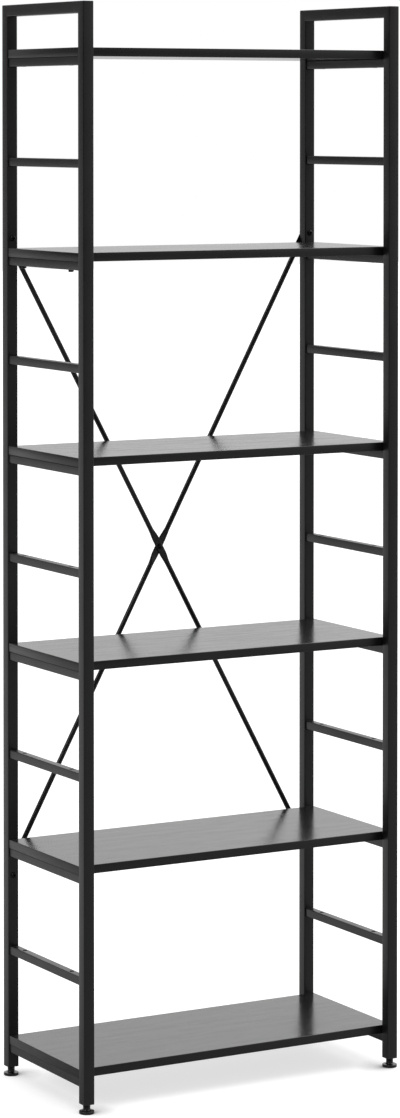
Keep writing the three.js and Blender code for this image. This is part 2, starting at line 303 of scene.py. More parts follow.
def carve(piece, shape, operation="DIFFERENCE"):
    """Cuts a closed shape out of a piece, or joins or intersects the two."""
    tool = new_piece("tool", shape)
    cut = piece.modifiers.new("cut", "BOOLEAN")
    cut.object = tool
    cut.operation = operation
    cut.solver = "EXACT"
    flatten(piece)
    bpy.data.objects.remove(tool)


def finish_piece(piece, body, slot, *nodes, materials=()):
    """Ends a piece: in metres, flat faces flat and round ones smooth, on its body, in the place of
    its CAD nodes."""
    flatten(piece)
    mesh = piece.data
    for material in materials:
        mesh.materials.append(material)
    for face in mesh.polygons:
        face.use_smooth = max(abs(part) for part in face.normal) < flat_normal
    mesh.set_sharp_from_angle(angle=math.radians(sharp_edge))
    mesh.transform(Matrix.Scale(0.001, 4))
    mesh.name = piece.name
    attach(piece, body)
    if nodes:
        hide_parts(*nodes)


def round_bar(start, end, width, sides_round=32):
    """A round bar from one point to another, as a shape."""
    shape = bmesh.new()
    axis = Vector(end) - Vector(start)
    place = Matrix.Translation((Vector(start) + Vector(end)) / 2)
    bmesh.ops.create_cone(
        shape,
        cap_ends=True,
        segments=sides_round,
        radius1=width / 2,
        radius2=width / 2,
        depth=axis.length,
        matrix=place @ axis.to_track_quat("Z", "Y").to_matrix().to_4x4(),
    )
    return shape


def grained_material(name, patterns, tones, gloss, relief=None, spread=(0, 1), **constants):
    """A material with noise patterns, each with its size in mm and its detail. Tone and gloss
    follow the first, gloss over the part of the noise that spread gives, and relief, a strength and
    a height in metres, presses the last into it."""
    material, tree, place = new_material(name)
    noises = [
        node(tree, "ShaderNodeTexNoise", {"Vector": place, "Scale": 1000 / size, "Detail": detail})
        for size, detail in patterns
    ]
    tone = node(
        tree,
        "ShaderNodeMix",
        {0: noises[0], 6: linear(tones[0]), 7: linear(tones[1])},
        data_type="RGBA",
    )
    inputs = {label.replace("_", " "): value for label, value in constants.items()}
    inputs["Base Color"] = tone.outputs[2]
    inputs["Roughness"] = node(tree, "ShaderNodeMapRange", (noises[0], *spread, *gloss))
    if relief:
        strength, height = relief
        inputs["Normal"] = node(
            tree,
            "ShaderNodeBump",
            {"Height": noises[-1], "Strength": strength, "Distance": height},
        )
    end_material(tree, inputs)
    return material


# Polyester powder, sprayed and baked on steel tube: satin black, an even film with a fine orange
# peel of about 1.5 mm that breaks up highlights, and a faint cloudiness in its gloss, about 45 mm
# wide.
powder_coat = grained_material(
    "powder_coated_steel",
    patterns=((45.0, 3.0), (1.5, 2.0)),
    tones=("#121213", "#171718"),
    gloss=(0.30, 0.37),
    relief=(0.6, 0.00006),
    spread=(0.3, 0.7),
    IOR=1.5,
)


def bent_line(across, outward, rise, bottom, sign, steps=3):
    """Places along one line of a post's section: up the post, then round to the mitre. sign is the
    side of the frame that the post stands on."""
    reach = outward - top_corner_round
    line = [(across, sign * outward, bottom)]
    for step in range(steps + 1):
        angle = math.radians(45 * step / steps)
        line.append(
            (
                across,
                sign * (reach + top_corner_round * math.cos(angle)),
                rise + reach + top_corner_round * math.sin(angle),
            )
        )
    return line


def rail_line(across, outward, height, front, rear):
    """The same for a top rail: the posts' bend turned on its side, from one mitre to the other."""
    bend = bent_line(across, outward, 0, 0, 1)[1:]
    to_rear = [(front.x + x, rear.y + z, height + y) for x, y, z in bend]
    to_front = [(front.x + x, front.y - z, height + y) for x, y, z in bend]
    return to_front[::-1] + to_rear


def hollow_tube(line_of, *places):
    """A square tube's outer and inner wall. line_of gives the line of a point of its section."""
    walls_of = []
    for width, corner in (
        (post_width, post_corner),
        (post_width - 2 * post_wall, post_corner - post_wall),
    ):
        lines = [line_of(a, b, *places) for a, b in rounded_square(width, corner)]
        walls_of.append([list(loop) for loop in zip(*lines)])
    shape = bmesh.new()
    skin(shape, walls_of[0] + walls_of[1][::-1], closed=True)
    return shape


for side in sides:
    rail_height = box_of(f"top_rail_{side}")[1].z - post_width / 2
    axes = {}
    for end, sign in zip(ends, (-1, 1)):
        name = f"post_{end}_{side}"
        low, high = box_of(name)
        axes[end] = (low + high) / 2
        shape = hollow_tube(bent_line, rail_height, low.z, sign)
        bmesh.ops.translate(shape, verts=shape.verts, vec=(*axes[end].xy, 0))
        tube = new_piece(f"{name}_tube", shape)
        if end == "rear":
            for level in ("lower", "upper"):
                bolt = middle_of(f"brace_bolt_{level}_{side}")
                from_front = (bolt.x, low.y - overcut, bolt.z)
                to_back = (bolt.x, high.y + overcut, bolt.z)
                carve(tube, round_bar(from_front, to_back, brace_hole_width))
        finish_piece(tube, "bookcase", "powder_coated_steel", name, materials=[powder_coat])

    name = f"top_rail_{side}"
    shape = hollow_tube(rail_line, rail_height, axes["front"], axes["rear"])
    tube = new_piece(f"{name}_tube", shape)
    finish_piece(tube, "bookcase", "powder_coated_steel", name, materials=[powder_coat])


# Cross rails. Lengths of 15 mm square tube cut square and welded between the posts, one under each
# board and one halfway to the next, each drilled twice from top to bottom for the board screws.
rail_width = 15.0
rail_wall = 1.2
rail_corner = 1.5
screw_hole_width = 8.2
screw_hole_inset = 44.0
board_count = 6


def shape_tree(name, *lengths, **others):
    """A Geometry Nodes tree, as (tree, its inputs' sockets). Its named inputs are a shape, lengths,
    others of a given kind, and a material."""
    tree = bpy.data.node_groups.new(name, "GeometryNodeTree")
    kinds = {"Geometry": "Geometry", **dict.fromkeys(lengths, "Float")}
    kinds.update((label.replace("_", " "), kind) for label, kind in others.items())
    kinds["Material"] = "Material"
    for label, kind in kinds.items():
        tree.interface.new_socket(label, in_out="INPUT", socket_type=f"NodeSocket{kind}")
    tree.interface.new_socket(
        "Geometry", in_out="OUTPUT", socket_type="NodeSocketGeometry"
    )
    return tree, node(tree, "NodeGroupInput").outputs


def end_tree(tree, geometry, material):
    """Ends a tree: real geometry, with its material."""
    real = node(tree, "GeometryNodeRealizeInstances", (geometry,))
    coated = node(tree, "GeometryNodeSetMaterial", {"Geometry": real, "Material": material})
    node(tree, "NodeGroupOutput", (coated,))


def grow(piece, tree, **sizes):
    """Puts a tree on a piece and sets its named inputs."""
    modifier = piece.modifiers.new(tree.name, "NODES")
    modifier.node_group = tree
    for item in tree.interface.items_tree:
        label = item.name.replace(" ", "_")
        if item.in_out == "INPUT" and label in sizes:
            modifier[item.identifier] = sizes[label]


def square_bar(tree, width, corner, length):
    """A solid bar of rounded square section along Y."""
    outline = node(
        tree, "GeometryNodeCurvePrimitiveQuadrilateral", {"Width": width, "Height": width}
    )
    rounded = node(
        tree,
        "GeometryNodeFilletCurve",
        {"Curve": outline, "Count": corner_steps, "Radius": corner},
        mode="POLY",
    )
    start, end = (
        node(tree, "ShaderNodeVectorMath", {0: (0, half, 0), 3: length}, operation="SCALE")
        for half in (-0.5, 0.5)
    )
    line = node(tree, "GeometryNodeCurvePrimitiveLine", {"Start": start, "End": end})
    return node(
        tree,
        "GeometryNodeCurveToMesh",
        {"Curve": line, "Profile Curve": rounded, "Fill Caps": True},
    )


# Tree: a drilled square tube along Y, its middle at the origin.
tree, given = shape_tree(
    "drilled square tube", "Width", "Wall", "Corner", "Length", "Hole Width", "Hole Place"
)
outside = square_bar(tree, given["Width"], given["Corner"], given["Length"])
inside = square_bar(
    tree,
    node(
        tree, "ShaderNodeMath", (given["Wall"], -2.0, given["Width"]), operation="MULTIPLY_ADD"
    ),
    node(tree, "ShaderNodeMath", (given["Corner"], given["Wall"]), operation="SUBTRACT"),
    node(tree, "ShaderNodeMath", (given["Length"], 2 * overcut), operation="ADD"),
)
drill_radius = node(tree, "ShaderNodeMath", (given["Hole Width"], 0.5), operation="MULTIPLY")
drill_length = node(tree, "ShaderNodeMath", (given["Width"], 2 * overcut), operation="ADD")
drill = node(
    tree,
    "GeometryNodeMeshCylinder",
    {"Vertices": 32, "Radius": drill_radius, "Depth": drill_length},
)
drills = []
for way in (-1.0, 1.0):
    shift = node(
        tree, "ShaderNodeVectorMath", {0: (0, way, 0), 3: given["Hole Place"]}, operation="SCALE"
    )
    drills.append(
        node(tree, "GeometryNodeTransform", {"Geometry": drill, "Translation": shift})
    )
tube = outside
for tool in (inside, drills):
    tube = node(
        tree, "GeometryNodeMeshBoolean", (tube, tool), operation="DIFFERENCE", solver="EXACT"
    )
end_tree(tree, tube, given["Material"])
tube_tree = tree

# Tree: copies of a piece in columns, rows and levels, each turned at random by up to Turn.
tree, given = shape_tree(
    "set out in rows",
    Columns="Int",
    Rows="Int",
    Levels="Int",
    Spacing="Vector",
    First_Place="Vector",
    Turn="Vector",
    Seed="Int",
)
index = node(tree, "GeometryNodeInputIndex")
column = node(tree, "ShaderNodeMath", (index, given["Columns"]), operation="MODULO")
row = node(tree, "ShaderNodeMath", (index, given["Columns"]), operation="DIVIDE")
row = node(tree, "ShaderNodeMath", (row,), operation="FLOOR")
level = node(tree, "ShaderNodeMath", (row, given["Rows"]), operation="DIVIDE")
level = node(tree, "ShaderNodeMath", (level,), operation="FLOOR")
row = node(tree, "ShaderNodeMath", (row, given["Rows"]), operation="MODULO")
steps_to = node(tree, "ShaderNodeCombineXYZ", (column, row, level))
place = node(
    tree,
    "ShaderNodeVectorMath",
    (steps_to, given["Spacing"], given["First Place"]),
    operation="MULTIPLY_ADD",
)
count = node(tree, "ShaderNodeMath", (given["Rows"], given["Columns"]), operation="MULTIPLY")
count = node(tree, "ShaderNodeMath", (given["Levels"], count), operation="MULTIPLY")
places = node(tree, "GeometryNodePoints", {"Count": count, "Position": place})
least_turn = node(tree, "ShaderNodeVectorMath", {0: given["Turn"], 3: -1.0}, operation="SCALE")
turns = node(
    tree,
    "FunctionNodeRandomValue",
    {0: least_turn, 1: given["Turn"], "Seed": given["Seed"]},
    data_type="FLOAT_VECTOR",
)
turned_by = node(tree, "FunctionNodeEulerToRotation", (turns,))
copies = node(
    tree,
    "GeometryNodeInstanceOnPoints",
    {"Points": places, "Instance": given["Geometry"], "Rotation": turned_by},
)
end_tree(tree, copies, given["Material"])
rows_tree = tree

for side in sides:
    for kind, numbers in (
        ("shelf_rail", range(1, board_count + 1)),
        ("open_rung", range(1, board_count)),
    ):
        nodes = [f"{kind}_{number}_{side}" for number in numbers]
        low, high = box_of(nodes[0])
        rail_length = high.y - low.y
        rise = middle_of(nodes[1]).z - middle_of(nodes[0]).z
        rails = new_piece(f"{kind}s_{side}")
        grow(
            rails,
            tube_tree,
            Width=rail_width,
            Wall=rail_wall,
            Corner=rail_corner,
            Length=rail_length,
            Hole_Width=screw_hole_width,
            Hole_Place=rail_length / 2 - screw_hole_inset,
            Material=powder_coat,
        )
        grow(
            rails,
            rows_tree,
            Columns=1,
            Rows=1,
            Levels=len(nodes),
            Spacing=(0.0, 0.0, rise),
            First_Place=tuple(middle_of(nodes[0])),
            Seed=1,
            Material=powder_coat,
        )
        finish_piece(rails, "bookcase", "powder_coated_steel", *nodes)


# Weld beads. A fillet weld runs all round each end of a cross rail, against the post, with the
# ripples of the welding puddle. The bead is darker and more matt than the posts: partly thin powder
# in such a corner, partly painted shade where rail meets post. The bead is laid thin under the
# boards.
shelf_bead_width = 2.0
open_bead_width = 5.0
bead_ripple = 0.15
ripple_pitch = 1.4
steps_per_ripple = 3.0

# Powder coat thinly dusted over a weld, its colour darkened further as painted shade at the joint:
# black, matt, with a 0.6 mm grain like fine sandpaper.
weld_painted_joint_shade = grained_material(
    "powder_dusted_weld",
    patterns=((0.6, 3.0),),
    # These tones sit below the posts' coat: painted shade where rail meets post.
    tones=("#060606", "#0c0c0c"),
    gloss=(0.60, 0.75),
    relief=(0.5, 0.00006),
    IOR=1.5,
    Specular_IOR_Level=0.2,
)

# Tree: a bead round a square tube's end, in a plane across Y.
tree, given = shape_tree("weld bead", "Width", "Corner", "Bead Width", "Ripple", "Ripple Pitch")
path = node(
    tree,
    "GeometryNodeCurvePrimitiveQuadrilateral",
    {"Width": given["Width"], "Height": given["Width"]},
)
path = node(
    tree,
    "GeometryNodeFilletCurve",
    {"Curve": path, "Count": corner_steps, "Radius": given["Corner"]},
    mode="POLY",
)
step = node(
    tree, "ShaderNodeMath", (given["Ripple Pitch"], steps_per_ripple), operation="DIVIDE"
)
path = node(
    tree, "GeometryNodeResampleCurve", {"Curve": path, "Length": step}, mode="LENGTH"
)
along = node(tree, "GeometryNodeSplineParameter").outputs["Length"]
wave = node(tree, "ShaderNodeMath", (along, given["Ripple Pitch"]), operation="DIVIDE")
wave = node(tree, "ShaderNodeMath", (wave, 2 * math.pi), operation="MULTIPLY")
wave = node(tree, "ShaderNodeMath", (wave,), operation="SINE")
radius = node(tree, "ShaderNodeMath", (given["Bead Width"], 0.5), operation="MULTIPLY")
puddle = node(tree, "ShaderNodeMath", (wave, given["Ripple"], radius), operation="MULTIPLY_ADD")
path = node(tree, "GeometryNodeSetCurveRadius", {"Curve": path, "Radius": puddle})
section = node(tree, "GeometryNodeCurvePrimitiveCircle", {"Resolution": 8, "Radius": 1.0})
bead = node(tree, "GeometryNodeCurveToMesh", {"Curve": path, "Profile Curve": section})
upright = node(
    tree, "GeometryNodeTransform", {"Geometry": bead, "Rotation": (math.pi / 2, 0, 0)}
)
end_tree(tree, upright, given["Material"])
bead_tree = tree

for kind, bead_width, rail_count in (
    ("shelf_rail", shelf_bead_width, board_count),
    ("open_rung", open_bead_width, board_count - 1),
):
    low, high = box_of(f"{kind}_1_left")
    first_rail = middle_of(f"{kind}_1_left")
    beads = new_piece(f"{kind}_weld_beads")
    grow(
        beads,
        bead_tree,
        Width=rail_width,
        Corner=rail_corner,
        Bead_Width=bead_width,
        Ripple=bead_ripple,
        Ripple_Pitch=ripple_pitch,
        Material=weld_painted_joint_shade,
    )
    grow(
        beads,
        rows_tree,
        Columns=2,
        Rows=2,
        Levels=rail_count,
        Spacing=(
            middle_of(f"{kind}_1_right").x - first_rail.x,
            high.y - low.y,
            middle_of(f"{kind}_2_left").z - first_rail.z,
        ),
        First_Place=(first_rail.x, low.y, first_rail.z),
        Seed=2,
        Material=weld_painted_joint_shade,
    )
    finish_piece(beads, "bookcase", "powder_coated_steel")


# Boards. 15 mm particle board, faced on both sides with black wood-grain melamine paper that was
# pressed on, and closed with a thin edge band glued all round. It rests on the cross rails.
edge_round = 0.7
edge_steps = 3
board_corner = 1.0
least_corner = 0.05
band_thickness = 0.9
band_overlap = 0.01
glue_line_width = 0.3
glue_line_depth = 0.15
pilot_width = 3.4
pilot_depth = 11.0
pore_depth = 0.00008  # metres
streak_contrast = (0.35, 0.65)  # the part of a noise that goes from dark to pale
pore_contrast = (0.36, 0.46)
shine_contrast = (0.8, 1.2)


def wood_grain(name, along, across, stretch, pale, relief, gloss_range):
    """Melamine paper with a wood print and pressed pores. Streaks are along and across mm long and
    wide, stretch says which axis they run along, and relief is how strongly pores are pressed."""
    material, tree, place = new_material(name)
    layers = []
    for length, width, detail in (
        (along, across, 3.0),
        (along / 3, across / 4, 2.0),
        (along * 4, across * 5, 2.0),
    ):
        scale = tuple(1000 / (length if axis == stretch else width) for axis in range(3))
        stretched = node(tree, "ShaderNodeMapping", {"Vector": place, "Scale": scale})
        layers.append(
            node(
                tree,
                "ShaderNodeTexNoise",
                {"Vector": stretched, "Scale": 1.0, "Detail": detail, "Distortion": 0.3},
            )
        )
    streak, pore, band = layers
    streaks = node(tree, "ShaderNodeMapRange", (streak, *streak_contrast))
    tone = node(
        tree,
        "ShaderNodeMix",
        {0: streaks, 6: linear("#0e0e0e"), 7: linear(pale)},
        data_type="RGBA",
    )
    tone = node(
        tree,
        "ShaderNodeMix",
        {0: band, 6: tone.outputs[2], 7: linear("#151515")},
        data_type="RGBA",
    )
    shine = node(tree, "ShaderNodeMath", (streak, band), operation="ADD")
    gloss = node(tree, "ShaderNodeMapRange", (shine, *shine_contrast, *gloss_range))
    pores = node(tree, "ShaderNodeMapRange", (pore, *pore_contrast))
    pressed = node(
        tree, "ShaderNodeBump", {"Height": pores, "Strength": relief, "Distance": pore_depth}
    )
    end_material(
        tree,
        {"Base Color": tone.outputs[2], "Roughness": gloss, "IOR": 1.5, "Normal": pressed},
    )
    return material


# Melamine facing: satin black with grey-black streaks 3 mm wide that run along the board.
melamine_face = wood_grain(
    "pressed_melamine_wood_grain", 36.0, 3.0, 0, "#2c2c2c", 0.22, (0.225, 0.16)
)
# Melamine backing under the board: the same paper pressed on a polished plate, glossy and even.
melamine_back = wood_grain(
    "polished_melamine_backing", 60.0, 3.0, 0, "#1c1c1c", 0.03, (0.10, 0.07)
)
# Edge bands: the same print on a strip, its streaks along the strip.
band_look = ("#191919", 0.06, (0.36, 0.28))
long_band = wood_grain("melamine_edge_band_along_width", 50.0, 2.2, 0, *band_look)
end_band = wood_grain("melamine_edge_band_along_depth", 50.0, 2.2, 1, *band_look)


def slab_loop(half_x, half_y, corner, inset, height, steps=3):
    """One loop round a board, inset from its outline, at a height."""
    loop = []
    for x_way, y_way, first in ((1, 1, 0), (-1, 1, 90), (-1, -1, 180), (1, -1, 270)):
        for step in range(steps + 1):
            angle = math.radians(first + 90 * step / steps)
            reach = max(corner - inset, least_corner)
            loop.append(
                (
                    x_way * (half_x - inset - reach) + reach * math.cos(angle),
                    y_way * (half_y - inset - reach) + reach * math.sin(angle),
                    height,
                )
            )
    return loop


for number in range(1, board_count + 1):
    name = f"shelf_board_{number}"
    low, high = box_of(name)
    centre = (low + high) / 2
    half = (high - low) / 2
    rim = [
        (band_thickness + glue_line_width, 0.0),
        (band_thickness + glue_line_width / 2, glue_line_depth),
        (band_thickness, 0.0),
    ]
    for step in range(edge_steps + 1):
        angle = math.radians(90 * step / edge_steps)
        rim.append((edge_round * (1 - math.sin(angle)), edge_round * (1 - math.cos(angle))))
    stations = [(inset, -half.z + drop) for inset, drop in rim]
    stations += [(inset, half.z - drop) for inset, drop in rim[::-1]]
    shape = bmesh.new()
    skin(shape, [slab_loop(half.x, half.y, board_corner, *station) for station in stations])
    bmesh.ops.translate(shape, verts=shape.verts, vec=centre)
    board = new_piece(f"board_{number}", shape)
    for side in sides:
        rail = middle_of(f"shelf_rail_{number}_{side}")
        rail_low, rail_high = box_of(f"shelf_rail_{number}_{side}")
        for y in (rail_low.y + screw_hole_inset, rail_high.y - screw_hole_inset):
            from_below = (rail.x, y, low.z - overcut)
            to_tip = (rail.x, y, low.z + pilot_depth)
            carve(board, round_bar(from_below, to_tip, pilot_width, 16))
    for material in (melamine_face, long_band, end_band, melamine_back):
        board.data.materials.append(material)
    facing = half.xy - Vector((1, 1)) * (band_thickness - band_overlap)
    for face in board.data.polygons:
        from_middle = face.center - centre
        past_x = abs(from_middle.x) - facing.x
        past_y = abs(from_middle.y) - facing.y
        if max(past_x, past_y) > 0:
            face.material_index = 1 if past_y > past_x else 2
        else:
            face.material_index = 3 if from_middle.z < 0 else 0
    finish_piece(board, "bookcase", "black_laminate_board", name)


# Board screws. Screws with a cross recess, driven up through both walls of a cross rail into the
# board, two at each end of each board. Their flat heads are sunk in the rail's lower wall, but the
# two at the left end of the fifth board have pan heads that stand under it. Black zinc on steel.
pan_head_width = 9.4
pan_head_height = 3.8
sunk_head_width = 9.4
sunk_head_edge = 0.25
sunk_head_face = 0.3  # under the rail
head_bevel = 0.3
pan_head_round = 1.6
pan_head_crown = 2.0
screw_thread_width = 4.0
screw_thread_depth = 0.5
screw_thread_in_head = 0.5
screw_length = 24.5
screw_pitch = 1.8
rows_in_pitch = 6.0  # of points, along a thread
recess_width = 4.4
recess_slot = 1.0
recess_depth = 1.4


def turned(outline, segments=48, axis="Z"):
    """A turned shape from (radius, place along the axis). Its ends lie on the axis, or it is a
    ring."""
    shape = bmesh.new()
    rings = []
    for radius, along in outline:
        turns = [2 * math.pi * i / segments for i in range(segments)] if radius else [0]
        rings.append(
            [shape.verts.new((radius * math.cos(t), radius * math.sin(t), along)) for t in turns]
        )
    is_ring = outline[0][0] > 0
    for here, there in zip(rings, rings[1:] + rings[:1] if is_ring else rings[1:]):
        for i in range(segments):
            j = (i + 1) % segments
            corners = (here[i % len(here)], here[j % len(here)])
            corners += (there[j % len(there)], there[i % len(there)])
            shape.faces.new(list(dict.fromkeys(corners)))
    if axis == "Y":
        bmesh.ops.rotate(
            shape, verts=shape.verts, matrix=Matrix.Rotation(-math.pi / 2, 3, "X")
        )
    return shape


def arc(centre_radius, centre_along, width, height, start, stop, steps=8):
    """Points of a quarter or half oval for a turned outline, angles in degrees."""
    angles = [math.radians(start + (stop - start) * i / steps) for i in range(steps + 1)]
    return [
        (centre_radius + width * math.cos(a), centre_along + height * math.sin(a))
        for a in angles
    ]


# Black zinc: a thin passivated layer on steel, nearly black metal with a faint brown cloudiness,
# about 4 mm wide.
black_zinc = grained_material(
    "black_zinc_plated_steel",
    patterns=((4.0, 3.0),),
    tones=("#0e0e0e", "#1c1b1a"),
    gloss=(0.30, 0.42),
    Metallic=0.6,
)

# Tree: a threaded rod that stands on Start and points up, turned by Direction, with a piece's own
# shape. The thread is right-handed and runs out at both ends.
tree, given = shape_tree(
    "threaded rod",
    "Length",
    "Width",
    "Pitch",
    "Thread Depth",
    Start="Vector",
    Direction="Vector",
)
rod_radius = node(tree, "ShaderNodeMath", (given["Width"], 0.5), operation="MULTIPLY")
half_rod = node(tree, "ShaderNodeMath", (given["Length"], 0.5), operation="MULTIPLY")
segments = node(tree, "ShaderNodeMath", (given["Length"], given["Pitch"]), operation="DIVIDE")
segments = node(tree, "ShaderNodeMath", (segments, rows_in_pitch), operation="MULTIPLY")
rod = node(
    tree,
    "GeometryNodeMeshCylinder",
    {
        "Vertices": 24,
        "Side Segments": segments,
        "Radius": rod_radius,
        "Depth": given["Length"],
    },
)
position = node(tree, "GeometryNodeInputPosition")
x, y, z = node(tree, "ShaderNodeSeparateXYZ", (position,)).outputs
lap = node(tree, "ShaderNodeMath", (y, x), operation="ARCTAN2")
lap = node(tree, "ShaderNodeMath", (lap, 2 * math.pi), operation="DIVIDE")
climb = node(tree, "ShaderNodeMath", (z, given["Pitch"]), operation="DIVIDE")
phase = node(tree, "ShaderNodeMath", (climb, lap), operation="SUBTRACT")
phase = node(tree, "ShaderNodeMath", (phase,), operation="FRACT")
flank = node(tree, "ShaderNodeMath", (phase, 2.0, -1.0), operation="MULTIPLY_ADD")
flank = node(tree, "ShaderNodeMath", (flank,), operation="ABSOLUTE")
from_end = node(tree, "ShaderNodeMath", (z,), operation="ABSOLUTE")
from_end = node(tree, "ShaderNodeMath", (half_rod, from_end), operation="SUBTRACT")
run_out = node(tree, "ShaderNodeMath", (from_end, given["Pitch"]), operation="DIVIDE")
run_out = node(tree, "ShaderNodeMath", (1.0, run_out), operation="SUBTRACT")
cut = node(tree, "ShaderNodeMath", (flank, run_out), operation="MAXIMUM")
cut = node(tree, "ShaderNodeMath", (cut, given["Thread Depth"]), operation="MULTIPLY")
share = node(tree, "ShaderNodeMath", (rod_radius, cut), operation="SUBTRACT")
share = node(tree, "ShaderNodeMath", (share, rod_radius), operation="DIVIDE")
x = node(tree, "ShaderNodeMath", (x, share), operation="MULTIPLY")
y = node(tree, "ShaderNodeMath", (y, share), operation="MULTIPLY")
z = node(tree, "ShaderNodeMath", (z, half_rod), operation="ADD")
pressed = node(tree, "ShaderNodeCombineXYZ", (x, y, z))
rod = node(tree, "GeometryNodeSetPosition", {"Geometry": rod, "Position": pressed})
rod = node(
    tree,
    "GeometryNodeTransform",
    {"Geometry": rod, "Translation": given["Start"], "Rotation": given["Direction"]},
)
joined = node(tree, "GeometryNodeJoinGeometry", ([given["Geometry"], rod],))
end_tree(tree, joined, given["Material"])
thread_tree = tree

pan_flat = pan_head_width / 2 - pan_head_round
pan_head = [
    (0, 0),
    (pan_head_width / 2 - head_bevel, 0),
    (pan_head_width / 2, -head_bevel),
    *arc(pan_flat, pan_head_crown - pan_head_height, pan_head_round, -pan_head_crown, 0, 90)[:-1],
    (pan_flat, -pan_head_height),
    (0, -pan_head_height),
]
cone_height = (sunk_head_width - screw_thread_width) / 2
sunk_head = [
    (0, cone_height - sunk_head_face + sunk_head_edge),
    (screw_thread_width / 2, cone_height - sunk_head_face + sunk_head_edge),
    (sunk_head_width / 2, -sunk_head_face + sunk_head_edge),
    (sunk_head_width / 2, -sunk_head_face),
    (0, -sunk_head_face),
]
board_rise = middle_of("shelf_rail_2_left").z - middle_of("shelf_rail_1_left").z
for label, outline, side, first, count in (
    ("right", sunk_head, "right", 1, board_count),
    ("left_1_to_4", sunk_head, "left", 1, 4),
    ("left_5", pan_head, "left", 5, 1),
    ("left_6", sunk_head, "left", 6, 1),
):
    screws = new_piece(f"board_screws_{label}", turned(outline))
    for across, deep in ((recess_width, recess_slot), (recess_slot, recess_width)):
        slot_shape = bmesh.new()
        bmesh.ops.create_cube(slot_shape, size=1)
        bmesh.ops.scale(
            slot_shape, verts=slot_shape.verts, vec=(across, deep, 2 * recess_depth)
        )
        bmesh.ops.translate(slot_shape, verts=slot_shape.verts, vec=(0, 0, outline[-1][1]))
        carve(screws, slot_shape)
    grow(
        screws,
        thread_tree,
        Length=screw_length,
        Width=screw_thread_width,
        Pitch=screw_pitch,
        Thread_Depth=screw_thread_depth,
        Start=(0.0, 0.0, outline[0][1] - screw_thread_in_head),
        Material=black_zinc,
    )
    low, high = box_of(f"shelf_rail_{first}_{side}")
    grow(
        screws,
        rows_tree,
        Columns=1,
        Rows=2,
        Levels=count,
        Spacing=(0.0, high.y - low.y - 2 * screw_hole_inset, board_rise),
        First_Place=((low.x + high.x) / 2, low.y + screw_hole_inset, low.z),
        Turn=(0.0, 0.0, math.pi),
        Seed=3,
        Material=black_zinc,
    )
    finish_piece(screws, "bookcase", "black_zinc_steel")


# Brace tubes. Two 9 mm steel tubes cross behind the rear posts. Each is pressed flat at its ends,
# for the bolts, and at the middle, where the two lie face to face, then powder coated.
brace_width = 9.0
brace_flat_width = 13.6
brace_flat_thickness = 2.4
brace_end_reach = 8.0
brace_end_flat = 34.0
brace_cross_flat = 28.0
brace_end_press = 10.0
brace_cross_press = 24.0
press_steps = 8
rivet_hole_width = 5.8


def ease(share):
    share = min(max(share, 0.0), 1.0)
    return share * share * (3 - 2 * share)


def blend_sizes(start, end, share):
    return start + (end - start) * share


def brace_loop(place, half_length, lean_side, steps=32):
    """One loop of a brace tube: a circle that is pressed to a flat oval near bolts and crossing."""
    from_bolt = half_length - abs(place)
    end_swell = (from_bolt - brace_end_flat) / brace_end_press
    cross_swell = (abs(place) - brace_cross_flat / 2) / brace_cross_press
    swell = ease(min(end_swell, cross_swell))
    flat_half = brace_flat_width / 2
    past = max(-from_bolt - (brace_end_reach - flat_half), 0)
    nose = math.sqrt(flat_half**2 - past**2)
    thick = blend_sizes(brace_flat_thickness / 2, brace_width / 2, swell)
    wide = min(nose, blend_sizes(flat_half, brace_width / 2, swell))
    thick = min(thick, wide)
    lean = (1 - ease(cross_swell)) * brace_flat_thickness / 2 * lean_side
    loop = []
    for i in range(steps):
        angle = 2 * math.pi * (i + 0.5) / steps
        side_way = math.copysign(wide - thick, math.cos(angle))
        loop.append(
            (place, lean + thick * math.sin(angle), side_way + thick * math.cos(angle))
        )
    return loop


upper = middle_of("brace_bolt_upper_left", "brace_bolt_upper_right")
lower = middle_of("brace_bolt_lower_left", "brace_bolt_lower_right")
brace_low, brace_high = box_of("brace_from_upper_left", "brace_from_upper_right")
span_x = middle_of("brace_bolt_upper_right").x - middle_of("brace_bolt_upper_left").x
span_z = upper.z - lower.z
half_length = math.hypot(span_x, span_z) / 2
slope = math.atan2(span_z, span_x)
crossing = Vector(
    ((upper.x + lower.x) / 2, (brace_low.y + brace_high.y) / 2, (upper.z + lower.z) / 2)
)
# Where the loops of one half lie: round its end, where it is pressed flat for the bolt, and where
# it is pressed flat for the crossing.
half_places = [
    half_length + brace_end_reach - brace_flat_width / 2 * (1 - math.sin(math.radians(a)))
    for a in (88, 75, 60, 45, 30, 15, 0)
]
for step in range(press_steps + 1):
    half_places.append(half_length - brace_end_flat - brace_end_press * step / press_steps)
for step in range(press_steps, -1, -1):
    half_places.append(brace_cross_flat / 2 + brace_cross_press * step / press_steps)
brace_places = half_places + [-place for place in half_places[::-1]]
for side, sign in zip(sides, (-1, 1)):
    shape = bmesh.new()
    skin(shape, [brace_loop(place, half_length, sign) for place in brace_places])
    brace = new_piece(f"brace_tube_from_upper_{side}", shape)
    for place, width in (
        (-half_length, brace_hole_width),
        (0, rivet_hole_width),
        (half_length, brace_hole_width),
    ):
        carve(brace, round_bar((place, -brace_width, 0), (place, brace_width, 0), width))
    brace.data.transform(
        Matrix.Translation(crossing) @ Matrix.Rotation(-sign * slope, 4, "Y")
    )
    name = f"brace_from_upper_{side}"
    finish_piece(brace, "bookcase", "powder_coated_steel", name, materials=[powder_coat])


